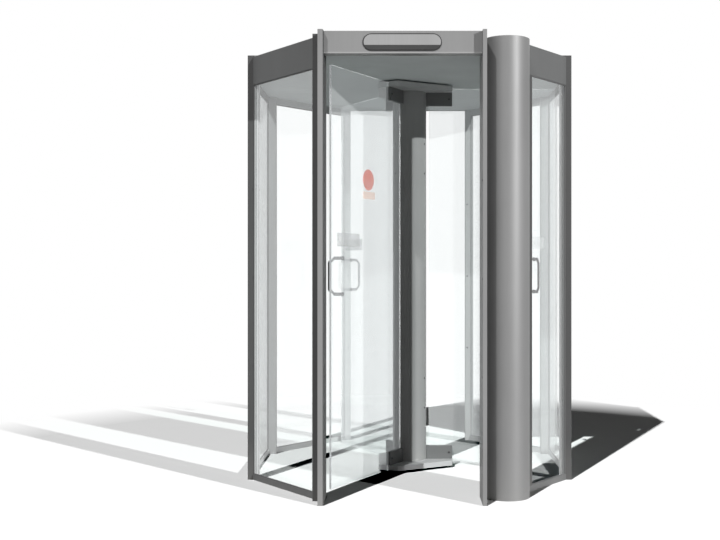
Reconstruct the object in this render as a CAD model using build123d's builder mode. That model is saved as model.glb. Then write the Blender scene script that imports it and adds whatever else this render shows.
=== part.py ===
from build123d import *
import os
from math import cos, radians, sin, sqrt, tan

# Three-leaf security revolving door in an eight-sided glass enclosure.
# Millimetres, +Z up.  The origin is on the floor, on the rotor's axis.
# -Y is the front opening, +Y the rear opening, +X the side of the round column.

os.makedirs("parts", exist_ok=True)

# ---- overall sizes: the leaves' reach sets the plan ----
leaf_radius = 843
overall_height = 2300
rest_turn = 1

# ---- depths below the overall height ----
cover_top_depth = 4
header_top_depth = 8
ceiling_depth = 96
rear_header_depth = 100
front_header_depth = 110
side_header_depth = 135
front_panel_header_depth = 160

# ---- sheets and bars of the enclosure ----
ceiling_thickness = 12
header_thickness = 20
rail_height = 30
glass_thickness = 10
column_stile_width = 78
column_stile_thickness = 26

# ---- plan of the enclosure ----
leaf_to_side_gap = 15
side_post_width = 66
front_side_post_angle = 25
rear_side_post_angle = 26
rear_post_clearance = 107
rear_post_width = 57
rear_post_x = 411
post_depth = 44
post_corner = 3
front_post_clearance = 69
front_post_width = 58
front_post_depth = 80
front_post_x = -454
diagonal_line_outset = 10

# ---- the front opening ----
fin_thickness = 25
fin_projection = 105
front_header_setback = 41
front_header_thickness = 60
right_fin_thickness = 20
column_angle = -60.2
leaf_to_column_gap = 14
column_radius = 115
column_wall = 5
nameplate_width = 386
nameplate_height = 84
nameplate_x = -41
nameplate_thickness = 6

# ---- the leaves' glass ----
leaf_top_gap = 6
leaf_bottom = 14
leaf_thickness = 12
core_to_glass = 15

# ---- the rotor's core ----
core_radius = 100
core_wall = 5
hub_thickness = 30
hub_top_gap = 10
hub_bottom = 12
hub_reach = 248
hub_arm_width = 134
hub_to_leaf = 5
clamp_beyond_hub = 2
clamp_height = 76
clamp_thickness = 11
screw_radius = 7
screw_head = 2
screw_from_end = 18

# ---- pull handles ----
handle_from_leaf_edge = 122
handle_centre_height = 1105
handle_spacing = 188
handle_standoff = 75
handle_shift = 17
handle_corner = 22
handle_radius = 6.5
boss_radius = 11
boss_length = 10

# ---- pivots at the floor and the ceiling ----
pivot_radius = 20
pivot_fit = 0.05
pivot_end_gap = 4
shoulder_radius = 35
shoulder_gap = 0.3
floor_plate_radius = 90
floor_plate_thickness = 6
ceiling_plate_radius = 80
ceiling_plate_thickness = 4

# ---- heights worked out from the sizes above ----
header_top = overall_height - header_top_depth
ceiling_underside = overall_height - ceiling_depth
front_header_bottom = overall_height - front_header_depth
rear_header_bottom = overall_height - rear_header_depth
hub_top = ceiling_underside - hub_top_gap
leaf_top = hub_top - leaf_top_gap
hub_plate_floor = hub_bottom + hub_thickness
hub_plate_roof = hub_top - hub_thickness
core_height = hub_plate_roof - hub_plate_floor
handle_from_axis = leaf_radius - handle_from_leaf_edge
clamp_reach = hub_reach + clamp_beyond_hub
leaf_inner_edge = core_radius + core_to_glass
leaf_angles = {1: 240 + rest_turn, 2: 120 + rest_turn, 3: rest_turn}

# ---- places in plan ----
side_outer_x = leaf_radius + leaf_to_side_gap + header_thickness
side_line_x = side_outer_x - header_thickness / 2
side_post_x = side_outer_x - side_post_width / 2
front_side_post_y = -side_post_x * tan(radians(front_side_post_angle))
rear_side_post_y = side_post_x * tan(radians(rear_side_post_angle))
rear_post_y = leaf_radius + rear_post_clearance
front_post_y = -leaf_radius - front_post_clearance
front_post_face_y = front_post_y - front_post_depth / 2
left_fin_face_x = front_post_x + front_post_width / 2
left_fin_x = left_fin_face_x - fin_thickness / 2
left_fin_y = front_post_face_y - fin_projection / 2
fin_front_y = front_post_face_y - fin_projection
front_header_y = fin_front_y + front_header_setback + front_header_thickness / 2
column_distance = leaf_radius + leaf_to_column_gap + column_radius
column_centre = (
    column_distance * cos(radians(column_angle)),
    column_distance * sin(radians(column_angle)),
)
right_fin_face_x = column_centre[0] - column_radius - right_fin_thickness
right_fin_x = right_fin_face_x + right_fin_thickness / 2
right_fin_depth = column_centre[1] - fin_front_y

# Each post: centre x, centre y, width, depth.
posts = {
    "post_front_left": (front_post_x, front_post_y, front_post_width, front_post_depth),
    "post_left": (-side_post_x, front_side_post_y, side_post_width, post_depth),
    "post_left_rear": (-side_post_x, rear_side_post_y, side_post_width, post_depth),
    "post_rear_left": (-rear_post_x, rear_post_y, rear_post_width, post_depth),
    "post_rear_right": (rear_post_x, rear_post_y, rear_post_width, post_depth),
    "post_right_rear": (side_post_x, rear_side_post_y, side_post_width, post_depth),
    "post_right": (side_post_x, front_side_post_y, side_post_width, post_depth),
}

# Each glazed side: the ends of its centre line.  The front ones run a little outside the posts' centres.
front_line_end = (front_post_x, front_post_y - diagonal_line_outset)
front_line_side = (-side_post_x, front_side_post_y - diagonal_line_outset)
panels = {
    "front_left": (front_line_side, front_line_end),
    "left": ((-side_line_x, rear_side_post_y), (-side_line_x, front_side_post_y)),
    "rear_left": ((-rear_post_x, rear_post_y), (-side_post_x, rear_side_post_y)),
    "rear_right": ((side_post_x, rear_side_post_y), (rear_post_x, rear_post_y)),
    "right": ((side_line_x, front_side_post_y), (side_line_x, rear_side_post_y)),
    "front_right": ((side_post_x, front_line_side[1]), (-front_post_x, front_line_end[1])),
}


def save(solid, label):
    """Label a finished piece and write its STEP file."""
    solid.label = label
    export_step(solid, f"parts/{label}.step")


def panel_plane(name):
    """The floor plane under a glazed side, from the middle of its centre line, and its length."""
    start, end = (Vector(*place, 0) for place in panels[name])
    along = end - start
    return Plane(origin=(start + end) * 0.5, x_dir=along, z_dir=(0, 0, 1)), along.length


def uprights(bottom, height):
    """Everything that stands between the glazed sides, as one shape to cut them with."""
    with BuildPart(mode=Mode.PRIVATE) as standing:
        with BuildSketch(Plane.XY.offset(bottom)):
            for x, y, width, depth in posts.values():
                with Locations((x, y)):
                    Rectangle(width, depth)
            with Locations(column_centre):
                Circle(column_radius)
            with Locations((left_fin_x, left_fin_y)):
                Rectangle(fin_thickness, fin_projection)
            with Locations((right_fin_x, fin_front_y + right_fin_depth / 2)):
                Rectangle(right_fin_thickness, right_fin_depth)
        extrude(amount=height)
    return standing.part


def largest(part):
    """The main piece, without the slivers left beyond the posts."""
    return max(part.solids(), key=lambda solid: solid.volume)


def panel_bar(name, thickness, bottom, height, first=None, last=None):
    """An upright slab along a glazed side between two places on its x, cut at the uprights."""
    plane, length = panel_plane(name)
    first = -length / 2 if first is None else first
    last = length / 2 if last is None else last
    with BuildPart(mode=Mode.PRIVATE) as bar:
        with BuildSketch(plane.offset(bottom)):
            with Locations(((first + last) / 2, 0)):
                Rectangle(last - first, thickness)
        extrude(amount=height)
        add(uprights(bottom, height), mode=Mode.SUBTRACT)
    return largest(bar.part)


def panel_at_column():
    """Where the front right side's line meets the round column, on that side's x."""
    plane, length = panel_plane("front_right")
    centre = plane.to_local_coords(Vector(*column_centre, 0))
    return centre.X - sqrt(column_radius**2 - centre.Y**2)


# ---- corner posts ----
for label, (x, y, width, depth) in posts.items():
    with BuildPart() as post:
        with BuildSketch():
            with Locations((x, y)):
                RectangleRounded(width, depth, post_corner)
        extrude(amount=overall_height)
    save(post.part, label)

# ---- round column at the front right corner, hollow and closed at both ends ----
with BuildPart() as round_column:
    with BuildSketch():
        with Locations(column_centre):
            Circle(column_radius)
    extrude(amount=header_top)
    with BuildSketch(Plane.XY.offset(column_wall)):
        with Locations(column_centre):
            Circle(column_radius - column_wall)
    extrude(amount=header_top - 2 * column_wall, mode=Mode.SUBTRACT)
save(round_column.part, "round_column")

# ---- fins that frame the front opening ----
with BuildPart() as fin_left:
    with BuildSketch():
        with Locations((left_fin_x, left_fin_y)):
            Rectangle(fin_thickness, fin_projection)
    extrude(amount=overall_height)
save(fin_left.part, "fin_left")

with BuildPart() as fin_right:
    with BuildSketch():
        with Locations((right_fin_x, fin_front_y + right_fin_depth / 2)):
            Rectangle(right_fin_thickness, right_fin_depth)
    extrude(amount=overall_height)
save(fin_right.part, "fin_right")

# ---- headers over the two openings ----
with BuildPart() as header_front:
    with BuildSketch(Plane.XY.offset(front_header_bottom)):
        with Locations(((left_fin_face_x + right_fin_face_x) / 2, front_header_y)):
            Rectangle(right_fin_face_x - left_fin_face_x, front_header_thickness)
    extrude(amount=overall_height - front_header_bottom)
save(header_front.part, "header_front")

with BuildPart() as header_rear:
    with BuildSketch(Plane.XY.offset(rear_header_bottom)):
        with Locations((0, rear_post_y)):
            Rectangle(2 * rear_post_x - rear_post_width, header_thickness)
    extrude(amount=header_top - rear_header_bottom)
save(header_rear.part, "header_rear")

# ---- glazed sides: each has a header, a rail on the floor and a sheet of glass between ----
for name in panels:
    depth = front_panel_header_depth if name.startswith("front") else side_header_depth
    header_bottom = overall_height - depth
    glass_height = header_bottom - rail_height
    glass_end = None
    if name == "front_right":
        glass_end = panel_at_column() - column_stile_width
        stile = panel_bar(name, column_stile_thickness, rail_height, glass_height, first=glass_end)
        save(stile, "column_stile")
    save(panel_bar(name, header_thickness, header_bottom, depth - header_top_depth), f"header_{name}")
    save(panel_bar(name, header_thickness, 0, rail_height), f"rail_{name}")
    save(panel_bar(name, glass_thickness, rail_height, glass_height, last=glass_end), f"glass_{name}")

# ---- ceiling between the headers, and the cover over them ----
front_header_back_y = front_header_y + front_header_thickness / 2
roof_outline = [
    (left_fin_face_x, front_header_back_y),
    (right_fin_face_x, front_header_back_y),
    panels["front_right"][1],
    panels["front_right"][0],
    panels["right"][1],
    panels["rear_right"][1],
    panels["rear_left"][0],
    panels["left"][0],
    panels["front_left"][0],
    panels["front_left"][1],
]


def roof_sheet(bottom, thickness):
    """A level sheet over the whole plan, cut around the uprights."""
    with BuildPart(mode=Mode.PRIVATE) as sheet:
        with BuildSketch(Plane.XY.offset(bottom)):
            with BuildLine():
                Polyline(*roof_outline, close=True)
            make_face()
        extrude(amount=thickness)
        add(uprights(bottom, thickness), mode=Mode.SUBTRACT)
    return sheet.part


with BuildPart() as ceiling:
    add(roof_sheet(ceiling_underside, ceiling_thickness))
    for name in panels:
        plane, length = panel_plane(name)
        with BuildSketch(plane.offset(ceiling_underside)):
            Rectangle(length, header_thickness)
        extrude(amount=ceiling_thickness, mode=Mode.SUBTRACT)
    with BuildSketch(Plane.XY.offset(ceiling_underside)):
        with Locations((0, rear_post_y)):
            Rectangle(2 * rear_post_x, header_thickness)
    extrude(amount=ceiling_thickness, mode=Mode.SUBTRACT)
save(largest(ceiling.part), "ceiling")

top_cover = largest(roof_sheet(header_top, header_top_depth - cover_top_depth))
save(top_cover, "top_cover")

# ---- nameplate, left bare ----
nameplate_z = (front_header_bottom + overall_height) / 2
with BuildPart() as nameplate:
    with BuildSketch(Plane.XZ.offset(front_header_thickness / 2 - front_header_y)):
        with Locations((nameplate_x, nameplate_z)):
            SlotOverall(nameplate_width, nameplate_height)
    extrude(amount=nameplate_thickness)
save(nameplate.part, "nameplate")

# ---- pivots: a plate, a shoulder that takes the thrust, and a pin in the hub ----
with BuildPart() as floor_pivot:
    Cylinder(floor_plate_radius, floor_plate_thickness, align=(Align.CENTER, Align.CENTER, Align.MIN))
    Cylinder(shoulder_radius, hub_bottom - shoulder_gap, align=(Align.CENTER, Align.CENTER, Align.MIN))
    Cylinder(pivot_radius, hub_plate_floor - pivot_end_gap, align=(Align.CENTER, Align.CENTER, Align.MIN))
save(floor_pivot.part, "floor_pivot")

with BuildPart() as ceiling_pivot:
    with Locations((0, 0, ceiling_underside)):
        Cylinder(
            ceiling_plate_radius,
            ceiling_plate_thickness,
            align=(Align.CENTER, Align.CENTER, Align.MAX),
        )
        Cylinder(
            shoulder_radius,
            ceiling_underside - hub_top - shoulder_gap,
            align=(Align.CENTER, Align.CENTER, Align.MAX),
        )
        Cylinder(
            pivot_radius,
            ceiling_underside - hub_plate_roof - pivot_end_gap,
            align=(Align.CENTER, Align.CENTER, Align.MAX),
        )
save(ceiling_pivot.part, "ceiling_pivot")

# ---- rotor core: a tube between two hub plates ----
with BuildPart() as rotor_core:
    with BuildSketch(Plane.XY.offset(hub_plate_floor)):
        Circle(core_radius)
        Circle(core_radius - core_wall, mode=Mode.SUBTRACT)
    extrude(amount=core_height)
save(rotor_core.part, "rotor_core")

for label, bottom in {"hub_plate_lower": hub_bottom, "hub_plate_upper": hub_plate_roof}.items():
    with BuildPart() as hub_plate:
        with BuildSketch(Plane.XY.offset(bottom)):
            corners = []
            for angle in sorted(leaf_angles.values()):
                for side in (-1, 1):
                    corner = Vector(hub_reach, side * hub_arm_width / 2, 0).rotate(Axis.Z, angle)
                    corners.append((corner.X, corner.Y))
            with BuildLine():
                Polyline(*corners, close=True)
            make_face()
            Circle(pivot_radius + pivot_fit, mode=Mode.SUBTRACT)
        extrude(amount=hub_thickness)
    save(hub_plate.part, label)


def leaf_plane(angle):
    """Upright plane in the middle of a leaf: x out from the axis, y up."""
    outward = Vector(1, 0, 0).rotate(Axis.Z, angle)
    clockwise = outward.rotate(Axis.Z, -90)
    return Plane(origin=(0, 0, 0), x_dir=outward, z_dir=clockwise)


def leaf_box(plane, inner, outer, bottom, height, near, thickness):
    """A box on a leaf: radial reach, heights, and its depth from the leaf's middle."""
    with BuildPart(mode=Mode.PRIVATE) as box:
        with BuildSketch(plane.offset(near)):
            with Locations(((inner + outer) / 2, bottom + height / 2)):
                Rectangle(outer - inner, height)
        extrude(amount=thickness)
    return box.part


for number, angle in leaf_angles.items():
    plane = leaf_plane(angle)

    # ---- glass, notched to pass the hub plates ----
    notch_edge = hub_reach + hub_to_leaf
    with BuildPart() as leaf_glass:
        with BuildSketch(plane.offset(-leaf_thickness / 2)):
            with BuildLine():
                Polyline(
                    (leaf_inner_edge, hub_plate_floor),
                    (notch_edge, hub_plate_floor),
                    (notch_edge, leaf_bottom),
                    (leaf_radius, leaf_bottom),
                    (leaf_radius, leaf_top),
                    (notch_edge, leaf_top),
                    (notch_edge, hub_plate_roof),
                    (leaf_inner_edge, hub_plate_roof),
                    close=True,
                )
            make_face()
        extrude(amount=leaf_thickness)
    save(leaf_glass.part, f"leaf_glass_{number}")

    # ---- clamps: a screwed plate on each face of the glass, low and high ----
    with BuildPart() as clamps:
        for bottom in (hub_plate_floor, hub_plate_roof - clamp_height):
            for side in (-1, 1):
                face = side * leaf_thickness / 2
                thickness = side * clamp_thickness
                add(leaf_box(plane, core_radius / 2, clamp_reach, bottom, clamp_height, face, thickness))
                screw_place = (clamp_reach - screw_from_end, bottom + clamp_height / 2)
                with BuildSketch(plane.offset(face + thickness)):
                    with Locations(screw_place):
                        Circle(screw_radius)
                extrude(amount=side * screw_head)
        with BuildSketch(Plane.XY.offset(hub_plate_floor)):
            Circle(core_radius)
        extrude(amount=core_height, mode=Mode.SUBTRACT)
    save(clamps.part, f"clamps_{number}")

    # ---- pull handle on the clockwise face ----
    with BuildPart() as handle:
        glass_face = leaf_thickness / 2
        outward = plane.x_dir
        out_of_glass = plane.z_dir
        low = handle_centre_height - handle_spacing / 2
        high = handle_centre_height + handle_spacing / 2
        lean = handle_shift / (handle_standoff - glass_face)

        def bar_point(depth, height):
            """A point of the bar's centre line, at a depth from the leaf's middle."""
            reach = handle_from_axis + lean * (depth - glass_face)
            return outward * reach + out_of_glass * depth + Vector(0, 0, height)

        bend = handle_standoff - handle_corner
        route = [
            bar_point(glass_face, high),
            bar_point(bend, high),
            bar_point(handle_standoff, high - handle_corner),
            bar_point(handle_standoff, low + handle_corner),
            bar_point(bend, low),
            bar_point(glass_face, low),
        ]
        with BuildLine() as bar_line:
            FilletPolyline(*route, radius=handle_radius * 1.5)
        with BuildSketch(Plane(origin=route[0], z_dir=route[1] - route[0])):
            Circle(handle_radius)
        sweep(path=bar_line.wires()[0])
        for height in (low, high):
            with BuildSketch(plane.offset(glass_face)):
                with Locations((handle_from_axis, height)):
                    Circle(boss_radius)
            extrude(amount=boss_length)
        below_glass_face = leaf_box(
            plane, 0, leaf_radius, leaf_bottom, leaf_top, -leaf_thickness, leaf_thickness + glass_face
        )
        add(below_glass_face, mode=Mode.SUBTRACT)
    save(handle.part, f"handle_{number}")
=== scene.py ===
# %% [markdown]
# # Three-leaf revolving door: the detailed model
#
# The door's frame model gives every size and place. This script keeps those solids, gives each one a real
# finish, and adds the small things that a frame model leaves out: screws, glazing rubbers, rivets, the
# built-up nameplate and the plain film labels on the leaves. All lengths are in metres, the origin is on
# the floor at the rotor's axis, -Y is the front opening and +Z is up.

import math

import bmesh
import bpy
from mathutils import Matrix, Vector


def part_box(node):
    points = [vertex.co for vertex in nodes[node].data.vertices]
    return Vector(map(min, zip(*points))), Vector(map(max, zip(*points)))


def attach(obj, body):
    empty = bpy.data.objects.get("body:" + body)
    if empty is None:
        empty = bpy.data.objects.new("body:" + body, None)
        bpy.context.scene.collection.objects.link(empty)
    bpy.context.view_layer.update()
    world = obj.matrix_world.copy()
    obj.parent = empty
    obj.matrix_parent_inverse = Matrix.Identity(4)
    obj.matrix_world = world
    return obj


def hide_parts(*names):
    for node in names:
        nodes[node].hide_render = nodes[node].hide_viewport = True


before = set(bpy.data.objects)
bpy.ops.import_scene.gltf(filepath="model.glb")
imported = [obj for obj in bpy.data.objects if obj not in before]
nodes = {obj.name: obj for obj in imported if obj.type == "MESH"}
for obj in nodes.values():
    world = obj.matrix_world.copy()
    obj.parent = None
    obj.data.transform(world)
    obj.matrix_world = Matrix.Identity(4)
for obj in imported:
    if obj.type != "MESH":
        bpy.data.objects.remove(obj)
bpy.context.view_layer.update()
scene = bpy.context.scene
scene.view_settings.view_transform = "Standard"

# %% [markdown]
# ## Camera
#
# The door is seen level from a little over a metre up, six metres in front of the rotor's axis and just
# left of it. The view is shifted, not turned, so that upright edges stay upright, as an architect's
# camera does it.

# %% Place the camera
lens = 53.35
shift_left = 1 / 18
shift_down = 1 / 480
camera_place = (-0.052, -6.2, 1.145)

camera_data = bpy.data.cameras.new("door_camera")
camera_data.sensor_width = 36
camera_data.lens = lens
camera_data.shift_x = -shift_left
camera_data.shift_y = -shift_down
camera = bpy.data.objects.new("door_camera", camera_data)
camera.location = camera_place
camera.rotation_euler = (math.radians(90), 0, 0)
scene.collection.objects.link(camera)
scene.camera = camera
print("camera at", tuple(camera.location), "lens", round(camera_data.lens, 2))

# %% [markdown]
# ## Helpers for node trees
#
# Each finish is a small tree of nodes. Short helpers keep the trees readable: one adds a node with its
# settings, one joins an output to an input, and the others do one sum, one mix or one noise each.

# %% Node helpers


def add_node(tree, kind, **settings):
    """Adds a node of a kind and fills in its settings and unlinked inputs."""
    node = tree.nodes.new(kind)
    for name, value in settings.items():
        if hasattr(node, name):
            setattr(node, name, value)
        else:
            node.inputs[name.replace("_", " ")].default_value = value
    return node


def join(tree, output, target):
    """Links an output to an input."""
    tree.links.new(output, target)


def maths(tree, operation, first, second, clamp=False):
    """One sum on two values, each a number or an output."""
    node = tree.nodes.new("ShaderNodeMath")
    node.operation = operation
    node.use_clamp = clamp
    for place, value in enumerate((first, second)):
        if isinstance(value, (int, float)):
            node.inputs[place].default_value = value
        else:
            join(tree, value, node.inputs[place])
    return node.outputs[0]


def times(tree, first, second, third):
    """The product of three values, held between 0 and 1."""
    product = maths(tree, "MULTIPLY", first, second)
    return maths(tree, "MULTIPLY", product, third, True)


def blend_colours(tree, amount, first, second, kind="MIX"):
    """Mixes two colours, each four numbers or an output, by an amount."""
    node = tree.nodes.new("ShaderNodeMix")
    node.data_type = "RGBA"
    node.blend_type = kind
    for place, value in ((0, amount), (6, first), (7, second)):
        if isinstance(value, (int, float, tuple)):
            node.inputs[place].default_value = value
        else:
            join(tree, value, node.inputs[place])
    return node.outputs[2]


def blend_shaders(tree, amount, first, second):
    """Mixes two shaders by an amount."""
    mixed = tree.nodes.new("ShaderNodeMixShader")
    for place, value in enumerate((amount, first, second)):
        join(tree, value, mixed.inputs[place])
    return mixed.outputs[0]


def stretched_noise(tree, where, stretch, detail=3.0):
    """Noise on coordinates stretched by three factors, for grain that runs one way."""
    mapping = add_node(tree, "ShaderNodeMapping")
    mapping.inputs["Scale"].default_value = stretch
    join(tree, where, mapping.inputs["Vector"])
    noise = add_node(tree, "ShaderNodeTexNoise", Scale=1.0, Detail=detail)
    join(tree, mapping.outputs[0], noise.inputs["Vector"])
    return noise.outputs["Fac"]


def spread(tree, value, low, high, to_low, to_high):
    """Maps a value from one range to another and holds it there."""
    node = add_node(tree, "ShaderNodeMapRange")
    for place, number in zip(("From Min", "From Max", "To Min", "To Max"), (low, high, to_low, to_high)):
        node.inputs[place].default_value = number
    join(tree, value, node.inputs["Value"])
    return node.outputs["Result"]


def corner_mask(tree, radius):
    """A normal that is rounded at the corners, and a mask that is 1 on a corner and 0 on a flat."""
    rounded = add_node(tree, "ShaderNodeBevel", samples=4, Radius=radius).outputs["Normal"]
    flat = tree.nodes.new("ShaderNodeNewGeometry").outputs["Normal"]
    likeness = tree.nodes.new("ShaderNodeVectorMath")
    likeness.operation = "DOT_PRODUCT"
    join(tree, rounded, likeness.inputs[0])
    join(tree, flat, likeness.inputs[1])
    return rounded, spread(tree, likeness.outputs["Value"], 0.75, 0.99, 1, 0)


def height_of(tree, where):
    """The height above the floor."""
    parts = tree.nodes.new("ShaderNodeSeparateXYZ")
    join(tree, where, parts.inputs[0])
    return parts.outputs["Z"]


def skin_group(name, takes):
    """A shader node group with named inputs, which gives a colour, a roughness and a normal."""
    group = bpy.data.node_groups.new(name, "ShaderNodeTree")
    kinds = {"value": "NodeSocketFloat", "colour": "NodeSocketColor", "vector": "NodeSocketVector"}
    for socket_name, kind, start in takes:
        socket = group.interface.new_socket(socket_name, in_out="INPUT", socket_type=kinds[kind])
        socket.default_value = start
    for socket_name, kind in (("Colour", "colour"), ("Roughness", "value"), ("Normal", "vector")):
        group.interface.new_socket(socket_name, in_out="OUTPUT", socket_type=kinds[kind])
    return group, group.nodes.new("NodeGroupInput"), group.nodes.new("NodeGroupOutput")


def hand_out(group, leave, colour, roughness, normal):
    """Sends the three results out of a group."""
    for place, result in enumerate((colour, roughness, normal)):
        join(group, result, leave.inputs[place])


print("node helpers ready")

# %% [markdown]
# ## Shared effects
#
# Extruded aluminium is drawn through a die, so its fine lines run along the bar. It is then brushed lightly
# and anodised, which leaves soft clouds in the colour. Corners lose a little of the layer and go paler,
# and the foot of every upright gathers dust from the floor. One group does this for all metals.

# %% Group: drawn metal with clouds, worn corners and a dusty foot


def make_drawn_metal():
    """Colour, roughness and normal of drawn and anodised metal."""
    takes = [
        ("Colour", "colour", (0.4, 0.4, 0.4, 1)),
        ("Roughness", "value", 0.4),
        ("Line depth", "value", 0.06),
        ("Wear", "value", 0.4),
        ("Dust", "value", 0.3),
    ]
    group, entry, leave = skin_group("drawn_metal", takes)
    where = group.nodes.new("ShaderNodeTexCoord").outputs["Object"]
    lines = stretched_noise(group, where, (900, 900, 6))
    clouds = stretched_noise(group, where, (3.5, 3.5, 1.6), detail=5)
    specks = stretched_noise(group, where, (260, 260, 260), detail=2)

    rounded, corner = corner_mask(group, 0.0016)
    broken = spread(group, specks, 0.35, 0.6, 0.2, 1)
    worn = times(group, corner, broken, entry.outputs["Wear"])

    foot = spread(group, height_of(group, where), 0.0, 0.22, 1, 0)
    patchy = spread(group, clouds, 0.35, 0.7, 0.3, 1)
    dust = times(group, foot, patchy, entry.outputs["Dust"])

    cloud_tone = spread(group, clouds, 0.3, 0.7, 0.93, 1.06)
    line_tone = spread(group, lines, 0.3, 0.7, 0.965, 1.035)
    tone = maths(group, "MULTIPLY", cloud_tone, line_tone)
    toned = blend_colours(group, 1.0, entry.outputs["Colour"], tone, "MULTIPLY")
    worn_colour = blend_colours(group, worn, toned, (0.55, 0.55, 0.56, 1))
    dusted = blend_colours(group, dust, worn_colour, (0.38, 0.37, 0.35, 1))

    rough_lines = spread(group, lines, 0.3, 0.7, -0.05, 0.05)
    rough = maths(group, "ADD", entry.outputs["Roughness"], rough_lines)
    rougher = maths(group, "ADD", rough, maths(group, "MULTIPLY", dust, 0.35), True)

    bump = add_node(group, "ShaderNodeBump", Distance=0.0004)
    join(group, entry.outputs["Line depth"], bump.inputs["Strength"])
    join(group, lines, bump.inputs["Height"])
    join(group, rounded, bump.inputs["Normal"])
    hand_out(group, leave, dusted, rougher, bump.outputs["Normal"])
    return group


drawn_metal = make_drawn_metal()
print("group drawn_metal:", len(drawn_metal.nodes), "nodes")

# %% [markdown]
# Painted sheet and powder-coated parts have no lines. Their skin is a fine orange peel, with faint clouds
# where the coat is thicker, and it scuffs pale at the corners.

# %% Group: powder coat


def make_powder_coat():
    """Colour, roughness and normal of a sprayed coat."""
    takes = [
        ("Colour", "colour", (0.3, 0.3, 0.3, 1)),
        ("Roughness", "value", 0.5),
        ("Wear", "value", 0.3),
    ]
    group, entry, leave = skin_group("powder_coat", takes)
    where = group.nodes.new("ShaderNodeTexCoord").outputs["Object"]
    peel = stretched_noise(group, where, (520, 520, 520), detail=1.5)
    clouds = stretched_noise(group, where, (4, 4, 4), detail=5)

    rounded, corner = corner_mask(group, 0.0012)
    broken = spread(group, peel, 0.4, 0.65, 0, 1)
    scuff = times(group, corner, broken, entry.outputs["Wear"])

    cloud_tone = spread(group, clouds, 0.3, 0.7, 0.94, 1.05)
    toned = blend_colours(group, 1.0, entry.outputs["Colour"], cloud_tone, "MULTIPLY")
    scuffed = blend_colours(group, scuff, toned, (0.5, 0.5, 0.5, 1))

    rough_clouds = spread(group, clouds, 0.3, 0.7, -0.06, 0.06)
    rough = maths(group, "ADD", entry.outputs["Roughness"], rough_clouds, True)

    bump = add_node(group, "ShaderNodeBump", Strength=0.12, Distance=0.0004)
    join(group, peel, bump.inputs["Height"])
    join(group, rounded, bump.inputs["Normal"])
    hand_out(group, leave, scuffed, rough, bump.outputs["Normal"])
    return group


powder_coat = make_powder_coat()
print("group powder_coat:", len(powder_coat.nodes), "nodes")

# %% [markdown]
# Float glass is flat to the eye, but hands and cleaning cloths leave a thin, uneven film. It shows as
# slightly duller patches at hand height and streaks that run down the sheet.

# %% Group: film on the glass


def make_glass_film():
    """Tint, roughness and normal of handled glass."""
    takes = [("Tint", "colour", (0.97, 0.99, 0.99, 1)), ("Film", "value", 0.02)]
    group, entry, leave = skin_group("glass_film", takes)
    where = group.nodes.new("ShaderNodeTexCoord").outputs["Object"]
    streaks = stretched_noise(group, where, (16, 16, 1.2), detail=4)
    smears = stretched_noise(group, where, (7, 7, 5), detail=4)
    waves = stretched_noise(group, where, (3, 3, 1), detail=1)

    height = height_of(group, where)
    under = spread(group, height, 0.75, 1.05, 0, 1)
    over = spread(group, height, 1.25, 1.6, 1, 0)
    hand_height = maths(group, "MULTIPLY", under, over)
    smeared = maths(group, "MULTIPLY", spread(group, smears, 0.5, 0.75, 0, 1), hand_height)
    streaked = spread(group, streaks, 0.5, 0.8, 0, 0.5)
    handled = maths(group, "ADD", smeared, streaked, True)
    dull = maths(group, "MULTIPLY", handled, entry.outputs["Film"])

    pale = spread(group, streaks, 0.3, 0.7, 0, 0.25)
    tint = blend_colours(group, pale, entry.outputs["Tint"], (0.99, 0.995, 0.99, 1))

    bump = add_node(group, "ShaderNodeBump", Strength=0.02, Distance=0.001)
    join(group, waves, bump.inputs["Height"])
    hand_out(group, leave, tint, dull, bump.outputs["Normal"])
    return group


glass_film = make_glass_film()
print("group glass_film:", len(glass_film.nodes), "nodes")

# %% [markdown]
# ## Finishes
#
# The front fins, the front header and the round column share one pale satin anodising. The rest of the
# frame is the same anodising, made as lit and shaded copies of it: the corner posts and the column's stile
# are darker with painted shade, the side headers and the front floor rails lie between the two with painted
# shade too, and the rear posts, the rear header and the other floor rails are pale again with painted light.
# The rotor's fittings are coated steel, its core is anodised.

# %% Make the metals


def empty_tree(owner):
    """The cleared node tree of a material or world."""
    owner.use_nodes = True
    owner.node_tree.nodes.clear()
    return owner.node_tree


def skinned(name, group, colour, **settings):
    """A material whose shader takes its colour, roughness and normal from a group with some settings."""
    material = bpy.data.materials.new(name)
    material.diffuse_color = (*colour, 1)
    tree = empty_tree(material)
    output = tree.nodes.new("ShaderNodeOutputMaterial")
    shader = tree.nodes.new("ShaderNodeBsdfPrincipled")
    join(tree, shader.outputs[0], output.inputs["Surface"])
    skin = tree.nodes.new("ShaderNodeGroup")
    skin.node_tree = group
    skin.inputs[0].default_value = (*colour, 1)
    for socket_name, value in settings.items():
        skin.inputs[socket_name.replace("_", " ")].default_value = value
    for source, target in zip(skin.outputs, ("Base Color", "Roughness", "Normal")):
        join(tree, source, shader.inputs[target])
    return material, shader, skin, output


def metal(name, colour, roughness, metallic, lines=0.06, wear=0.4, dust=0.3, shine=0.2):
    """A drawn and anodised metal."""
    settings = {"Roughness": roughness, "Line_depth": lines, "Wear": wear, "Dust": dust}
    material, shader, _, _ = skinned(name, drawn_metal, colour, **settings)
    shader.inputs["Metallic"].default_value = metallic
    shader.inputs["Specular IOR Level"].default_value = shine
    return material


def coat(name, colour, roughness, metallic=0.0, wear=0.3, shine=0.2):
    """A sprayed coat."""
    material, shader, _, _ = skinned(name, powder_coat, colour, Roughness=roughness, Wear=wear)
    shader.inputs["Metallic"].default_value = metallic
    shader.inputs["Specular IOR Level"].default_value = shine
    return material


# The frame metal comes as copies of the front finish: the darker copies are painted shade, the paler ones
# painted light.
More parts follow.
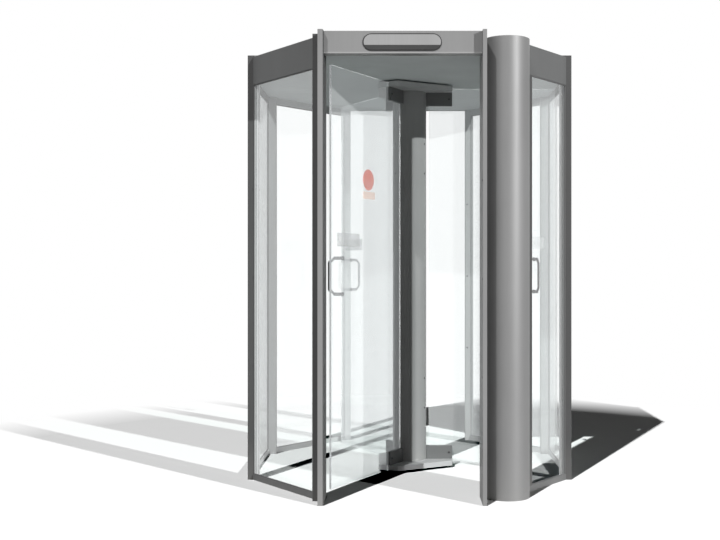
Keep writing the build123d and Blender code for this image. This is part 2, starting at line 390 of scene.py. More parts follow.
front_satin = metal("front_satin", (0.32, 0.32, 0.32), 0.45, 0.05, shine=0.15)
column_satin = metal("column_satin", (0.27, 0.27, 0.27), 0.5, 0.42, shine=0.15)
post_satin_painted_shade = metal("post_satin_painted_shade", (0.1, 0.1, 0.1), 0.45, 0.05, shine=0.15)
header_satin_painted_shade = metal("header_satin_painted_shade", (0.18, 0.183, 0.183), 0.45, 0.04, shine=0.1)
rail_satin_painted_shade = metal("rail_satin_painted_shade", (0.2, 0.203, 0.203), 0.45, 0.05, dust=0.15)
rear_satin_painted_light = metal("rear_satin_painted_light", (0.5, 0.51, 0.51), 0.45, 0.05)
rear_pale_painted_light = metal("rear_pale_painted_light", (0.7, 0.71, 0.71), 0.45, 0.0, dust=0.15)
# A very pale copy and a very dark copy of the frame metal, for the post strips: painted light and painted
# shade.
liner_pale_painted_light = metal("liner_pale_painted_light", (0.85, 0.86, 0.86), 0.45, 0.0)
liner_dark_painted_shade = metal("liner_dark_painted_shade", (0.1, 0.102, 0.102), 0.5, 0.0, shine=0.05)
core_satin = metal("core_satin", (0.38, 0.385, 0.385), 0.38, 0.0, shine=0.05)
turned_steel = metal("turned_steel", (0.3, 0.3, 0.31), 0.35, 0.6, lines=0.03, wear=0.5)
plate_light = metal("plate_light", (0.42, 0.42, 0.42), 0.38, 0.05, lines=0.03, dust=0)
screw_steel = coat("screw_steel", (0.06, 0.06, 0.06), 0.35, 0.4, wear=0.5)
fitting_grey = coat("fitting_grey", (0.2, 0.205, 0.205), 0.45, 0.0, shine=0.1)
hub_grey = coat("hub_grey", (0.6, 0.61, 0.61), 0.45, 0.0, shine=0.1)
handle_dark = coat("handle_dark", (0.02, 0.02, 0.021), 0.4, 0.0, wear=0.3, shine=0.1)
ceiling_grey = coat("ceiling_grey", (0.84, 0.89, 0.89), 0.75, shine=0.1)
cover_grey = coat("cover_grey", (0.42, 0.42, 0.42), 0.7)
band_dark = coat("band_dark", (0.07, 0.07, 0.07), 0.3, wear=0.0)
rim_dark = coat("rim_dark", (0.05, 0.05, 0.05), 0.4, wear=0.3)
rubber_grey = coat("rubber_grey", (0.2, 0.2, 0.2), 0.7, wear=0.0, shine=0.1)
print("materials so far:", len(bpy.data.materials))

# %% [markdown]
# Glass is a sheet that bends light, with a faint green-blue tint. Lamps shine straight through it, as they
# do through real glass, so its shadow is only a little darker than the floor. The leaves' glass is less
# clear than the fixed sheets', so it shows where lamplight falls on it and where a header shades it. Both
# also give off a faint, even painted glow, which stands in for the white light that the glass catches.

# %% Make the glass
painted_glow_colour = (0.94, 0.97, 1.0, 1)
shadow_tint = (0.97, 0.985, 0.98, 1)


def glass(name, tint, clear, film_amount, glow):
    """Sheet glass that lets lamplight through, with a faint even painted glow that stands in for light the
    glass catches.
    """
    material, shader, _, output = skinned(name, glass_film, tint, Film=film_amount)
    material.diffuse_color = (*tint, 0.3)
    tree = material.node_tree
    shader.inputs["IOR"].default_value = 1.5
    shader.inputs["Metallic"].default_value = 0.0
    shader.inputs["Transmission Weight"].default_value = clear
    shader.inputs["Emission Color"].default_value = painted_glow_colour
    shader.inputs["Emission Strength"].default_value = glow
    path = tree.nodes.new("ShaderNodeLightPath")
    through = maths(tree, "MAXIMUM", path.outputs["Is Shadow Ray"], path.outputs["Is Diffuse Ray"])
    passing = tree.nodes.new("ShaderNodeBsdfTransparent")
    passing.inputs["Color"].default_value = shadow_tint
    mixed = blend_shaders(tree, through, shader.outputs[0], passing.outputs[0])
    join(tree, mixed, output.inputs["Surface"])
    return material


# The last number of each is the strength of the painted glow.
side_glass = glass("side_glass_clear", (0.985, 0.995, 0.993), 0.97, 0.012, 0.03)
leaf_glass = glass("leaf_glass_clear", (0.965, 0.985, 0.985), 0.86, 0.012, 0.05)
print("glass: side and leaf")

# %% [markdown]
# ## Give each solid its finish
#
# Every solid of the frame model gets one finish. Each could be named by itself, but sheets, rails, posts,
# clamps and handles come in sets. So one table goes by how a name starts. Where two starts fit, the first
# one counts, so a longer start stands before a shorter one.

# %% Assign the finishes
# The frame metal's copies put painted shade on the posts, the column's stile, the side headers and the front
# rails, and painted light on the rear posts, the rear header and the other rails.
finish_by_start = {
    "ceiling_pivot": turned_steel,
    "ceiling": ceiling_grey,
    "clamps_": fitting_grey,
    "column_stile": post_satin_painted_shade,
    "fin_": front_satin,
    "floor_pivot": turned_steel,
    "glass_": side_glass,
    "handle_": handle_dark,
    "header_front_": header_satin_painted_shade,
    "header_front": front_satin,
    "header_rear": rear_satin_painted_light,
    "header_": header_satin_painted_shade,
    "hub_plate_": hub_grey,
    "leaf_glass_": leaf_glass,
    "nameplate": plate_light,
    "post_left_rear": rear_satin_painted_light,
    "post_right_rear": rear_satin_painted_light,
    "post_rear_": rear_satin_painted_light,
    "post_": post_satin_painted_shade,
    "rail_front_": rail_satin_painted_shade,
    "rail_": rear_pale_painted_light,
    "rotor_core": core_satin,
    "round_column": column_satin,
    "top_cover": cover_grey,
}


def finish_for(name):
    """The finish of a node, by how its name starts."""
    return next(finish for start, finish in finish_by_start.items() if name.startswith(start))


for name, node in nodes.items():
    for place in range(len(node.data.materials)):
        node.data.materials[place] = finish_for(name)
print("finished nodes:", len(nodes))

# %% [markdown]
# ## Helpers for small pieces
#
# New pieces are drawn straight into the mesh, in the door's own frame, so their objects stay at the origin.
# Most of them are slabs: an outline on a surface, pushed out and rounded over at its rim, because a sharp
# rim never catches light as a real one does. An outline is a list of places across and up, and a small
# function says where such a place lies on the door.

# %% Mesh helpers


def placed(name, data):
    """A new object in the scene, at the origin, for a mesh or a lamp."""
    made = bpy.data.objects.new(name, data)
    scene.collection.objects.link(made)
    return made


def mesh_from(name, form):
    """The mesh of a finished bmesh, its faces turned outwards."""
    bmesh.ops.recalc_face_normals(form, faces=form.faces)
    mesh = bpy.data.meshes.new(name)
    form.to_mesh(mesh)
    form.free()
    return mesh


def piece_from(name, form, material, body):
    """Turns a finished bmesh into a piece that rides on a body."""
    mesh = mesh_from(name, form)
    mesh.materials.append(material)
    made = placed(name, mesh)
    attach(made, body)
    return made


def close_rings(form, rings):
    """Closes both ends of a row of equal rings and skins it; gives the last end."""
    form.faces.new(list(reversed(rings[0])))
    last = form.faces.new(rings[-1])
    count = len(last.verts)
    for near, far in zip(rings, rings[1:]):
        for step in range(count):
            after = (step + 1) % count
            form.faces.new((near[step], near[after], far[after], far[step]))
    return last


def add_slab(form, outline, lift, place, round_by, steps=2):
    """A closed slab: an outline pushed from one lift to another, its outer rim rounded over."""
    start, end = lift
    low = [form.verts.new(place(u, v, start)) for u, v in outline]
    high = [form.verts.new(place(u, v, end)) for u, v in outline]
    rim = list(close_rings(form, [low, high]).edges)
    bmesh.ops.bevel(form, geom=rim, offset=round_by, segments=steps, profile=0.5, affect="EDGES")


def arc(across, up, radius, start, sweep, turns):
    """Points along an arc round a middle, from a start angle through a sweep, both in degrees."""
    angles = [math.radians(start + sweep * step / turns) for step in range(turns + 1)]
    return [(across + radius * math.cos(angle), up + radius * math.sin(angle)) for angle in angles]


def pill(width, height, turns=12):
    """The outline of a bar with round ends."""
    radius = height / 2
    straight = width / 2 - radius
    right_end = arc(straight, 0, radius, -90, 180, turns)
    return right_end + arc(-straight, 0, radius, 90, 180, turns)


def rounded_rectangle(width, height, radius, turns=4):
    """The outline of a rectangle with round corners."""
    reach = width / 2 - radius
    rise = height / 2 - radius
    points = []
    for corner, (across, up) in enumerate(((1, -1), (1, 1), (-1, 1), (-1, -1))):
        points += arc(across * reach, up * rise, radius, 90 * corner - 90, 90, turns)
    return points


def disc(radius, turns=48):
    """A round outline."""
    return arc(0, 0, radius, 0, 360, turns)[:-1]


def cut_below(outline, level):
    """The part of an outline under a level."""
    kept = []
    for first, point in enumerate(outline):
        after = outline[(first + 1) % len(outline)]
        if point[1] <= level:
            kept.append(point)
        if (point[1] - level) * (after[1] - level) < 0:
            share = (level - point[1]) / (after[1] - point[1])
            kept.append((point[0] + share * (after[0] - point[0]), level))
    return kept


def edge(name, side):
    """Where one side of a node's box lies."""
    low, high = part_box(name)
    sides = {"left": low.x, "right": high.x, "front": low.y, "rear": high.y, "top": high.z}
    return sides[side]


def pointing(angle):
    """The level direction at an angle from +X, in degrees."""
    return Vector((math.cos(math.radians(angle)), math.sin(math.radians(angle)), 0))


print("mesh helpers ready")

# %% [markdown]
# ## Nameplate
#
# The header carries a pill-shaped plate. One slab in three colours would do from afar, but the real one is
# built up, and its steps catch light. So a dark backing shows as a thin rim, a pale face stands proud above
# and a dark strip lies a little lower below. One outline, cut at a level, gives the last two. The face
# stays bare.

# %% Build the nameplate
plate_low, plate_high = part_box("nameplate")
plate_middle = (plate_low + plate_high) / 2
plate_width = plate_high.x - plate_low.x
plate_height = plate_high.z - plate_low.z
plate_thickness = plate_high.y - plate_low.y
rim_width = 0.005
strip_top_height = 2.230
backing_share = 0.72
sunk_share = 0.7
strip_share = 0.85


def on_header(u, v, lift):
    """A place on the header's front, lifted off it by a distance."""
    return Vector((plate_middle.x + u, plate_high.y - lift, plate_middle.z + v))


backing = bmesh.new()
backing_lift = (0.0, plate_thickness * backing_share)
add_slab(backing, pill(plate_width, plate_height), backing_lift, on_header, 0.0016)
backing_piece = piece_from("nameplate_backing", backing, rim_dark, "enclosure")
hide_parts("nameplate")

inner = pill(plate_width - 2 * rim_width, plate_height - 2 * rim_width)
strip_top = strip_top_height - plate_middle.z
strip_outline = cut_below(inner, strip_top)
upside_down = [(u, -v) for u, v in inner]
face_outline = [(u, -v) for u, v in cut_below(upside_down, -strip_top)]
face = bmesh.new()
face_lift = (plate_thickness * sunk_share, plate_thickness)
add_slab(face, face_outline, face_lift, on_header, 0.0008)
piece_from("nameplate_face", face, plate_light, "enclosure")
strip = bmesh.new()
strip_lift = (plate_thickness * sunk_share, plate_thickness * strip_share)
add_slab(strip, strip_outline, strip_lift, on_header, 0.0004)
piece_from("nameplate_strip", strip, band_dark, "enclosure")
print("nameplate", round(plate_width, 3), "x", round(plate_height, 3))

# %% [markdown]
# ## Glazing rubbers
#
# Each fixed sheet sits in a grey rubber on both faces, all the way round. The rubber is a small bead with
# a rounded shoulder, pressed between the glass and the frame after the sheet is in. A bevelled curve could
# follow the edge too, but its corners would be round. Four straight runs on each face are what a glazier
# cuts, and they are read off the sheet itself, so they follow it if its size changes.

# %% Lay the rubbers
bead_width = 0.005
bead_depth = 0.003
bead_steps = 4
squareness = 0.6
on_face = 0.0005


def sheet_lie(name):
    """How a glass sheet lies: its middle, its direction along, its facing and its half depth."""
    mesh = nodes[name].data
    largest = max(mesh.polygons, key=lambda side: side.area)
    facing = Vector((largest.normal.x, largest.normal.y, 0)).normalized()
    along = Vector((-facing.y, facing.x, 0))
    middle = sum((vert.co for vert in mesh.vertices), Vector()) / len(mesh.vertices)
    depth = max(abs((vert.co - middle).dot(facing)) for vert in mesh.vertices)
    return middle, along, facing, depth


def bead_run(form, start, end, inward, outward):
    """One straight bead from start to end, its round shoulder towards the open glass."""
    shoulder = [(0, 0), (bead_width, 0)]
    for step in range(1, bead_steps):
        angle = math.radians(90 * step / bead_steps)
        inwards = bead_width * math.cos(angle) ** squareness
        outwards = bead_depth * math.sin(angle) ** squareness
        shoulder.append((inwards, outwards))
    shoulder.append((0, bead_depth))
    rings = []
    for end_point in (start, end):
        rings.append([form.verts.new(end_point + inward * a + outward * b) for a, b in shoulder])
    close_rings(form, rings)


def glaze(name):
    """The rubber beads round one sheet, on both its faces."""
    middle, along, facing, depth = sheet_lie(name)
    low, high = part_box(name)
    foot = Vector((0, 0, low.z))
    top = Vector((0, 0, high.z))
    up = Vector((0, 0, 1))
    inset = along * bead_width
    form = bmesh.new()
    for outward in (-facing, facing):
        from_middle = [vert.co - middle for vert in nodes[name].data.vertices]
        near = [point for point in from_middle if abs(point.dot(outward) - depth) < on_face]
        reach = [point.dot(along) for point in near]
        plane = Vector((middle.x, middle.y, 0)) + outward * depth
        left = plane + along * min(reach)
        right = plane + along * max(reach)
        bead_run(form, left + foot, left + top, along, outward)
        bead_run(form, right + foot, right + top, -along, outward)
        bead_run(form, left + inset + foot, right - inset + foot, up, outward)
        bead_run(form, left + inset + top, right - inset + top, -up, outward)
    return piece_from("rubber_" + name.removeprefix("glass_"), form, rubber_grey, "enclosure")


rubbers = [glaze(name) for name in sorted(nodes) if name.startswith("glass_")]
print("rubbers:", len(rubbers))

# %% [markdown]
# ## Screws
#
# The covers of the posts and fins are held by small socket screws in upright rows, one every half metre or
# so. The core tube has pairs of them beside each leaf, which hold the rails inside it, and each clamp
# has one at its free end. Placing them by hand would be slow to change, so a rule does it: every row
# starts from one point, which knows which way the screw faces, and each head is rolled by chance, as a
# fitter leaves it. The seed keeps that the same each time.

# %% Shape one screw head
head_turns = 12
socket_share = 0.42
head_profile = ((1.0, 0.0), (1.0, 0.45), (0.86, 0.85), (0.6, 1.0), (socket_share, 1.0), (socket_share, 0.45))


def make_screw_head(radius, height):
    """A low round head with a six-sided socket, facing up."""
    form = bmesh.new()
    rings = []
    for share, lift in head_profile:
        ring = []
        for step in range(head_turns):
            angle = 2 * math.pi * step / head_turns
            reach = radius * share
            if share == socket_share and step % 2:
                reach *= math.cos(math.pi / 6)
            place = (reach * math.cos(angle), reach * math.sin(angle), height * lift)
            ring.append(form.verts.new(place))
        rings.append(ring)
    close_rings(form, rings)
    return placed("screw_head", mesh_from("screw_head", form))


screw_head = make_screw_head(0.0055, 0.0022)
print("screw head:", len(screw_head.data.polygons), "faces")

# %% Rule for rows of screws


def geometry_tree(name, inputs):
    """An empty geometry rule with named inputs: its tree, both ends and the inputs' identifiers."""
    tree = bpy.data.node_groups.new(name, "GeometryNodeTree")
    tree.interface.new_socket("Geometry", in_out="INPUT", socket_type="NodeSocketGeometry")
    identifiers = {}
    for socket_name, kind in inputs:
        socket = tree.interface.new_socket(socket_name, in_out="INPUT", socket_type=kind)
        identifiers[socket_name] = socket.identifier
    tree.interface.new_socket("Geometry", in_out="OUTPUT", socket_type="NodeSocketGeometry")
    return tree, tree.nodes.new("NodeGroupInput"), tree.nodes.new("NodeGroupOutput"), identifiers


def heads_on(tree, entry, leave, points, rotation=None):
    """The end of a rule: a head on every point, made real and given its finish."""
    head = tree.nodes.new("GeometryNodeObjectInfo")
    join(tree, entry.outputs["Head"], head.inputs["Object"])
    heads = tree.nodes.new("GeometryNodeInstanceOnPoints")
    join(tree, points, heads.inputs["Points"])
    join(tree, head.outputs["Geometry"], heads.inputs["Instance"])
    if rotation:
        join(tree, rotation, heads.inputs["Rotation"])
    real = tree.nodes.new("GeometryNodeRealizeInstances")
    join(tree, heads.outputs["Instances"], real.inputs["Geometry"])
    painted = tree.nodes.new("GeometryNodeSetMaterial")
    join(tree, real.outputs["Geometry"], painted.inputs["Geometry"])
    join(tree, entry.outputs["Material"], painted.inputs["Material"])
    join(tree, painted.outputs["Geometry"], leave.inputs["Geometry"])


def make_row_rule():
    """Rows of heads: each start point grows an upright line, each point of it gets a head."""
    inputs = [
        ("In a row", "NodeSocketInt"),
        ("Spacing", "NodeSocketFloat"),
        ("Head", "NodeSocketObject"),
        ("Seed", "NodeSocketInt"),
        ("Material", "NodeSocketMaterial"),
    ]
    tree, entry, leave, identifiers = geometry_tree("screw_rows", inputs)
    step = tree.nodes.new("ShaderNodeCombineXYZ")
    join(tree, entry.outputs["Spacing"], step.inputs["Z"])
    line = tree.nodes.new("GeometryNodeMeshLine")
    join(tree, entry.outputs["In a row"], line.inputs["Count"])
    join(tree, step.outputs[0], line.inputs["Offset"])
    rows = tree.nodes.new("GeometryNodeInstanceOnPoints")
    join(tree, entry.outputs["Geometry"], rows.inputs["Points"])
    join(tree, line.outputs["Mesh"], rows.inputs["Instance"])
    loose = tree.nodes.new("GeometryNodeRealizeInstances")
    join(tree, rows.outputs["Instances"], loose.inputs["Geometry"])

    facing = tree.nodes.new("GeometryNodeInputNamedAttribute")
    facing.data_type = "FLOAT_VECTOR"
    facing.inputs["Name"].default_value = "facing"
    aim = tree.nodes.new("FunctionNodeAlignRotationToVector")
    aim.axis = "Z"
    join(tree, facing.outputs["Attribute"], aim.inputs["Vector"])
    chance = tree.nodes.new("FunctionNodeRandomValue")
    chance.data_type = "FLOAT"
    join(tree, entry.outputs["Seed"], chance.inputs["Seed"])
    roll = tree.nodes.new("ShaderNodeCombineXYZ")
    join(tree, chance.outputs[1], roll.inputs["Z"])
    turn = tree.nodes.new("FunctionNodeEulerToRotation")
    join(tree, roll.outputs[0], turn.inputs["Euler"])
    rolled = tree.nodes.new("FunctionNodeRotateRotation")
    rolled.rotation_space = "LOCAL"
    join(tree, aim.outputs["Rotation"], rolled.inputs["Rotation"])
    join(tree, turn.outputs["Rotation"], rolled.inputs["Rotate By"])
    heads_on(tree, entry, leave, loose.outputs["Geometry"], rolled.outputs["Rotation"])
    return tree, identifiers


row_rule, row_inputs = make_row_rule()
print("rule screw_rows:", sorted(row_inputs))

# %% Helpers that follow a rule


def follow_rule(name, mesh, rule, identifiers, settings, body):
    """The plain mesh that a rule makes from a start mesh, riding on a body. The rule itself goes."""
    holder = placed(name + "_rule", mesh)
    modifier = holder.modifiers.new("rule", "NODES")
    modifier.node_group = rule
    for socket_name, value in settings.items():
        modifier[identifiers[socket_name]] = value
    bpy.context.view_layer.update()
    shown = holder.evaluated_get(bpy.context.evaluated_depsgraph_get())
    result = bpy.data.meshes.new_from_object(shown)
    result.name = name
    bpy.data.objects.remove(holder)
    made = placed(name, result)
    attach(made, body)
    return made


def screw_rows(name, starts, in_a_row, spacing, seed, body):
    """Rows of screws from start points, each a place and a facing."""
    mesh = bpy.data.meshes.new(name + "_starts")
    mesh.from_pydata([place for place, _ in starts], [], [])
    facing = mesh.attributes.new("facing", "FLOAT_VECTOR", "POINT")
    for place, (_, direction) in zip(facing.data, starts):
        place.vector = direction
    settings = {
        "In a row": in_a_row,
        "Spacing": spacing,
        "Head": screw_head,
        "Seed": seed,
        "Material": screw_steel,
    }
    return follow_rule(name, mesh, row_rule, row_inputs, settings, body)


print("rule helpers ready")

# %% Screws on posts and fins
facings = {"left": (-1, 0, 0), "right": (1, 0, 0), "front": (0, -1, 0), "rear": (0, 1, 0)}
first_screw = 0.617
screw_spacing = 0.478
rear_line = 0.397
left_fin_line = -0.990
right_fin_line = -1.027
fin_shade_strip_thickness = 0.003


def row_on(name, side, line=None, proud=0.0):
    """Where a row starts on a node's side, and its facing: up a line, or up the middle to the millimetre."""
    low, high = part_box(name)
    middle = (low + high) / 2
    if side in ("left", "right"):
        across = round(middle.y, 3) if line is None else line
        place = (edge(name, side) + proud, across, first_screw)
    else:
        across = round(middle.x, 3) if line is None else line
        place = (across, edge(name, side), first_screw)
    return place, facings[side]


post_starts = [
    row_on("post_left", "front"),
    row_on("post_right", "front"),
    row_on("post_left_rear", "right"),
    row_on("post_right_rear", "left"),
    row_on("post_left", "right"),
    row_on("post_right", "left"),
    row_on("post_left_rear", "rear"),
    row_on("post_right_rear", "rear"),
    row_on("post_rear_left", "front", -rear_line),
    row_on("post_rear_right", "front", rear_line),
    row_on("fin_left", "right", left_fin_line, fin_shade_strip_thickness),
    row_on("fin_right", "left", right_fin_line),
]
post_screws = screw_rows("post_screws", post_starts, 3, screw_spacing, 4, "enclosure")
print("rows on posts and fins:", len(post_starts), "with", len(post_screws.data.polygons), "faces")

# %% Screws on the rotor
leaf_angles = {"1": 241, "2": 121, "3": 1}
core_radius = edge("rotor_core", "right")
core_screw_turn = -28
core_screw_heights = (0.343, 1.693)
core_screw_spacing = 0.17
clamp_screw_reach = 0.232
clamp_face = 0.019
clamp_heights = (0.080, 2.126)

core_starts = []
clamp_starts = []
for angle in leaf_angles.values():
    out = pointing(angle + core_screw_turn)
    for height in core_screw_heights:
        core_starts.append((tuple(out * core_radius + Vector((0, 0, height))), tuple(out)))
    for height in clamp_heights:
        for aside in (pointing(angle + 90), pointing(angle - 90)):
            place = pointing(angle) * clamp_screw_reach + aside * clamp_face + Vector((0, 0, height))
            clamp_starts.append((tuple(place), tuple(aside)))
screw_rows("core_screws", core_starts, 2, core_screw_spacing, 7, "rotor")
screw_rows("clamp_screws", clamp_starts, 1, 0.0, 9, "rotor")
print("rows on the core:", len(core_starts), "screws on the clamps:", len(clamp_starts))

# %% [markdown]
# ## Rivets of the top cover
#
# The thin sheet on top is riveted down along its edge. Its corners don't fall on the steps, so rows won't
# do here. This rule walks the whole line as one curve, cuts it into equal steps and sets a rivet on each.

# %% Rivet the cover


def make_edge_rule():
    """Heads at equal steps along a line."""
    inputs = [("Step", "NodeSocketFloat"), ("Head", "NodeSocketObject"), ("Material", "NodeSocketMaterial")]
    tree, entry, leave, identifiers = geometry_tree("edge_rivets", inputs)
    curve = tree.nodes.new("GeometryNodeMeshToCurve")
    join(tree, entry.outputs["Geometry"], curve.inputs["Mesh"])
    points = tree.nodes.new("GeometryNodeResampleCurve")
    points.mode = "LENGTH"
    join(tree, curve.outputs["Curve"], points.inputs["Curve"])
    join(tree, entry.outputs["Step"], points.inputs["Length"])
    heads_on(tree, entry, leave, points.outputs["Curve"])
    return tree, identifiers


edge_rule, edge_inputs = make_edge_rule()
rivet_step = 0.12
rivet_rear = edge("top_cover", "rear") - 0.03
cover_top = edge("top_cover", "top")
rivet_line = [
    (-0.40, rivet_rear),
    (-0.83, 0.40),
    (-0.83, -0.40),
    (-0.47, -0.87),
    (-0.40, -0.92),
    (0.34, -0.92),
    (0.60, -0.68),
    (0.83, -0.40),
    (0.83, 0.40),
    (0.40, rivet_rear),
]
line_mesh = bpy.data.meshes.new("rivet_line")
line_edges = [(first, (first + 1) % len(rivet_line)) for first in range(len(rivet_line))]
line_mesh.from_pydata([(x, y, cover_top) for x, y in rivet_line], line_edges, [])
rivet_settings = {"Step": rivet_step, "Head": screw_head, "Material": turned_steel}
rivets = follow_rule("cover_rivets", line_mesh, edge_rule, edge_inputs, rivet_settings, "enclosure")
bpy.data.objects.remove(screw_head)
print("cover rivets:", len(rivets.data.polygons), "faces")

# %% [markdown]
# ## Film labels on the leaves
#
# Each leaf carries a thin strip of frosted film above its handle. The leaf that stands in the front
# opening also has a round, dull red sticker with a small pale one under it. All of them are plain. A patch
# in the glass's own finish would do too, but film is a layer that light passes twice, so each is a slab
# under half a millimetre thick, and it turns with its leaf.

# %% Stick the labels


def film(name, colour, roughness, cover, painted_glow=0.0):
    """A thin film or sticker, its colour a little uneven, with a painted glow in its own colour that stands
    in for daylight shining through it.
    """
    material, shader, skin, _ = skinned(name, powder_coat, colour, Roughness=roughness, Wear=0.0)
    shader.inputs["Alpha"].default_value = cover
    join(material.node_tree, skin.outputs["Colour"], shader.inputs["Emission Color"])
    shader.inputs["Emission Strength"].default_value = painted_glow
    return material


frosted_film = film("frosted_film", (0.75, 0.76, 0.76), 0.6, 0.14)
# The last number of each sticker is a painted glow, which stands in for daylight shining through it.
red_vinyl = film("red_vinyl", (0.9, 0.3, 0.24), 0.4, 0.65, 0.4)
pale_vinyl = film("pale_vinyl", (0.95, 0.78, 0.7), 0.4, 0.5, 0.5)
half_glass = 0.006
film_thickness = 0.0004
front_leaf = leaf_angles["1"]


def stick(name, outline, angle, reach, height, material):
    """A plain film on the open face of a leaf, its middle at a reach from the axis and a height."""
    middle = pointing(angle) * reach + Vector((0, 0, height))

    def on_leaf(u, v, lift):
        return middle + pointing(angle) * u + Vector((0, 0, v)) + pointing(angle + 90) * (half_glass + lift)

    form = bmesh.new()
    add_slab(form, outline, (0.0, film_thickness), on_leaf, 0.0001, 1)
    piece_from(name, form, material, "rotor")


label_outline = rounded_rectangle(0.225, 0.07, 0.006)
for leaf, angle in leaf_angles.items():
    stick("film_label_" + leaf, label_outline, angle, 0.674, 1.295, frosted_film)
stick("round_sticker", disc(0.057), front_leaf, 0.471, 1.625, red_vinyl)
stick("small_sticker", rounded_rectangle(0.125, 0.04, 0.006), front_leaf, 0.464, 1.541, pale_vinyl)
print("labels:", len(leaf_angles), "and two stickers")

# %% [markdown]
# ## Trim on the front header
#
# A narrow drip edge closes the lower front edge of the header. It catches the light as a thin bright line,
# which bump alone wouldn't give, so it is a slab of its own.

# %% Fit the drip edge
header_low, header_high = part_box("header_front")
header_middle = (header_low.x + header_high.x) / 2
header_width = header_high.x - header_low.x
drip_height = 0.007
drip_depth = 0.0012
drip_gap = 0.0004


def on_header_edge(u, v, lift):
    """A place on the lower front edge of the header."""
    return Vector((header_middle + u, header_low.y - lift, header_low.z + drip_height / 2 + v))


drip = bmesh.new()
drip_outline = rounded_rectangle(header_width - drip_gap, drip_height, 0.001, 2)
add_slab(drip, drip_outline, (0.0, drip_depth), on_header_edge, 0.0004)
piece_from("header_drip_edge", drip, plate_light, "enclosure")
print("drip edge", round(header_width, 3), "long")

# %% [markdown]
# ## Strips of painted light and shade on the posts
#
# The inner side of each side post has a pale strip of painted light, and the left one has another on its
# front, behind the glass. The inner sides of the left fin and of the post behind it have dark strips of
# painted shade. All are thin slabs, laid on a post's box. Those on a side are a little smaller than it, so
# that a fine joint shows round them.

# %% Fit the strips of painted light and shade
strip_thickness = 0.0012
post_shade_strip_thickness = 0.005
side_gap = 0.003
end_gap = 0.006
front_strip_width = 0.026
front_strip_gap = 0.002
# Pale strips are painted light on the inner sides of the side posts; dark strips are painted shade on the
# fin and the post behind it.
side_strips = [
    ("strip_post_left", "post_left", "right", strip_thickness, liner_pale_painted_light),
    ("strip_post_right", "post_right", "left", strip_thickness, liner_pale_painted_light),
    ("strip_fin_left", "fin_left", "right", fin_shade_strip_thickness, liner_dark_painted_shade),
    ("strip_post_front_left", "post_front_left", "right", post_shade_strip_thickness, liner_dark_painted_shade),
]


def painted_shading_strip(name, width, height, thickness, place, material):
    """A thin full-height strip with rounded edges; the pale ones are painted light, the dark ones painted
    shade.
    """
    form = bmesh.new()
    outline = rounded_rectangle(width, height - end_gap, 0.001, 2)
    add_slab(form, outline, (0.0, thickness), place, 0.0004, 1)
    piece_from(name, form, material, "enclosure")


for name, post, side, thickness, material in side_strips:
    low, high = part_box(post)
    middle = (low + high) / 2
    surface = edge(post, side)
    way_out = 1 if side == "right" else -1

    def on_side(u, v, lift):
        """A place on the side of the post, lifted off it by a distance."""
        return Vector((surface + way_out * lift, middle.y + u, middle.z + v))

    painted_shading_strip(name, high.y - low.y - side_gap, high.z - low.z, thickness, on_side, material)

left_low, left_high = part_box("post_left")
front_strip_x = left_high.x - front_strip_gap - front_strip_width / 2
front_strip_z = (left_low.z + left_high.z) / 2


def on_front(u, v, lift):
    """A place on the front of the left post, lifted off it by a distance."""
    return Vector((front_strip_x + u, left_low.y - lift, front_strip_z + v))


left_height = left_high.z - left_low.z
# This pale strip is painted light on the front of the left post.
painted_shading_strip("strip_post_left_front", front_strip_width, left_height, strip_thickness, on_front, rear_pale_painted_light)
print("cover strips:", len(side_strips), "on sides, one on a front")

# %% [markdown]
# ## Sleeves on the handles
#
# Each arm of a pull handle goes through a thicker sleeve, which hides the bolt behind it. The arms lean a
# little, so a sleeve is skinned from rings along its own line, not stood upright on the glass.

# %% Slide the sleeves on
handle_reach = 0.721
handle_lean = 0.017 / 0.069
arm_heights = (1.011, 1.199)
sleeve_radius = 0.0088
sleeve_start = 0.0155
sleeve_end = 0.056
sleeve_rounding = 0.0012


def add_sleeve(form, start, end, radius, turns=24):
    """A closed round sleeve from start to end, its rims rounded over."""
    along = (end - start).normalized()
    across = along.cross(Vector((0, 0, 1))).normalized()
    up = across.cross(along)
    length = (end - start).length
    part_way = sleeve_rounding * 0.3
    profile = [(0.0, radius - sleeve_rounding), (part_way, radius - part_way), (sleeve_rounding, radius)]
    profile += [(length - lift, reach) for lift, reach in reversed(profile)]
    rings = []
    for lift, reach in profile:
        ring = []
        for step in range(turns):
            angle = 2 * math.pi * step / turns
            spoke = across * (reach * math.cos(angle)) + up * (reach * math.sin(angle))
            ring.append(form.verts.new(start + along * lift + spoke))
        rings.append(ring)
    close_rings(form, rings)


for leaf, angle in leaf_angles.items():
    sleeves = bmesh.new()
    for height in arm_heights:
        ends = []
        for depth in (sleeve_start, sleeve_end):
            reach = handle_reach + handle_lean * (depth - half_glass)
            ends.append(pointing(angle) * reach + pointing(angle - 90) * depth + Vector((0, 0, height)))
        add_sleeve(sleeves, ends[0], ends[1], sleeve_radius)
    piece_from("handle_sleeves_" + leaf, sleeves, handle_dark, "rotor")
print("handle sleeves:", len(arm_heights) * len(leaf_angles))

# %% [markdown]
# ## Floor, light and surroundings
#
# A plain pale floor runs to the horizon under an even white surround. Its finish takes off a small even
# amount of light, so open floor stays white and the shadows on it read clearly. Three metres from the
# door it runs out into plain white.

# %% Lay the floor
floor_half = 2000.0
fade_start = 2.7
fade_end = 3.5
floor_pale = (0.82, 0.82, 0.82, 1)
floor_bounce = (0.15, 0.15, 0.15, 1)
taken_off = 0.385
far_bounce = 0.25


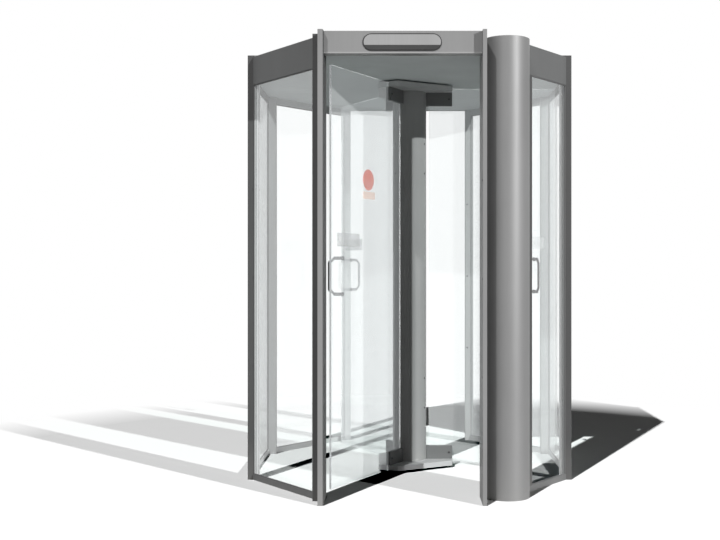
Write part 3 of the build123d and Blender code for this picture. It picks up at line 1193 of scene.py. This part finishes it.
def make_floor_finish():
    """A pale floor with a little light taken off, which runs out into plain white."""
    material = bpy.data.materials.new("floor_pale")
    tree = empty_tree(material)
    output = tree.nodes.new("ShaderNodeOutputMaterial")
    bounce = tree.nodes.new("ShaderNodeLightPath").outputs["Is Diffuse Ray"]

    pale = tree.nodes.new("ShaderNodeBsdfDiffuse")
    join(tree, blend_colours(tree, bounce, floor_pale, floor_bounce), pale.inputs["Color"])
    darker = tree.nodes.new("ShaderNodeEmission")
    join(tree, spread(tree, bounce, 0, 1, -taken_off, 0), darker.inputs["Strength"])
    near = tree.nodes.new("ShaderNodeAddShader")
    join(tree, pale.outputs[0], near.inputs[0])
    join(tree, darker.outputs[0], near.inputs[1])

    far = tree.nodes.new("ShaderNodeEmission")
    join(tree, spread(tree, bounce, 0, 1, 1, far_bounce), far.inputs["Strength"])
    from_door = tree.nodes.new("ShaderNodeVectorMath")
    from_door.operation = "LENGTH"
    join(tree, tree.nodes.new("ShaderNodeTexCoord").outputs["Object"], from_door.inputs[0])
    faded = spread(tree, from_door.outputs["Value"], fade_start, fade_end, 0, 1)
    mixed = blend_shaders(tree, faded, near.outputs[0], far.outputs[0])
    join(tree, mixed, output.inputs["Surface"])
    material.cycles.emission_sampling = "NONE"
    return material


floor_corners = [(x * floor_half, y * floor_half, 0) for x, y in ((-1, -1), (1, -1), (1, 1), (-1, 1))]
floor_mesh = bpy.data.meshes.new("floor")
floor_mesh.from_pydata(floor_corners, [], [(0, 1, 2, 3)])
floor_mesh.materials.append(make_floor_finish())
floor = placed("floor", floor_mesh)
print("floor", 2 * floor_half, "across")

# %% [markdown]
# Two lamps light the door: a high one from the front left and a low one from the front right. One pair
# for everything would either burn out the metal or leave the floor grey. So the floor has its own pair
# from the same directions, and each lamp is told what it lights. The high lamp's shadow comes out dark
# and the low lamp's pale.

# %% Hang the lamps
from_left = Vector((0.312, 0.654, -0.688))
from_right = Vector((-0.680, 0.680, -0.276))
lamp_width = math.radians(0.6)


def lamp(name, direction, strength, receivers):
    """A distant lamp that shines along a direction, for some receivers only."""
    data = bpy.data.lights.new(name, "SUN")
    data.energy = strength * math.pi
    data.angle = lamp_width
    made = placed(name, data)
    made.rotation_euler = direction.to_track_quat("-Z", "Y").to_euler()
    made.light_linking.receiver_collection = receivers
    return made


floor_only = bpy.data.collections.new("lit_floor")
floor_only.objects.link(floor)
all_but_floor = bpy.data.collections.new("lit_door")
all_but_floor.objects.link(floor)
all_but_floor.collection_objects[0].light_linking.link_state = "EXCLUDE"
lamp("door_lamp_left", from_left, 0.5, all_but_floor)
lamp("door_lamp_right", from_right, 0.7, all_but_floor)
lamp("floor_lamp_left", from_left, 1.74, floor_only)
lamp("floor_lamp_right", from_right, 1.66, floor_only)
print("lamps:", len(bpy.data.lights))

# %% [markdown]
# The surround is white wherever it is looked at, straight, in a reflection or through glass. Where it only
# lights things it is weak, so that it lifts the shade a little and the lamps still shape the door.

# %% Set the surround
seen_strength = 1.0
soft_strength = 0.06


def white_light(tree, strength):
    """An even white background of some strength."""
    background = tree.nodes.new("ShaderNodeBackground")
    background.inputs["Color"].default_value = (1, 1, 1, 1)
    background.inputs["Strength"].default_value = strength
    return background.outputs[0]


world = bpy.data.worlds.new("white_surround")
scene.world = world
world_tree = empty_tree(world)
world_output = world_tree.nodes.new("ShaderNodeOutputWorld")
rays = world_tree.nodes.new("ShaderNodeLightPath").outputs
straight = maths(world_tree, "MAXIMUM", rays["Is Camera Ray"], rays["Is Glossy Ray"])
looked_at = maths(world_tree, "MAXIMUM", straight, rays["Is Transmission Ray"])
soft = white_light(world_tree, soft_strength)
seen = white_light(world_tree, seen_strength)
join(world_tree, blend_shaders(world_tree, looked_at, soft, seen), world_output.inputs["Surface"])
print("surround: white to the eye, soft on the door")
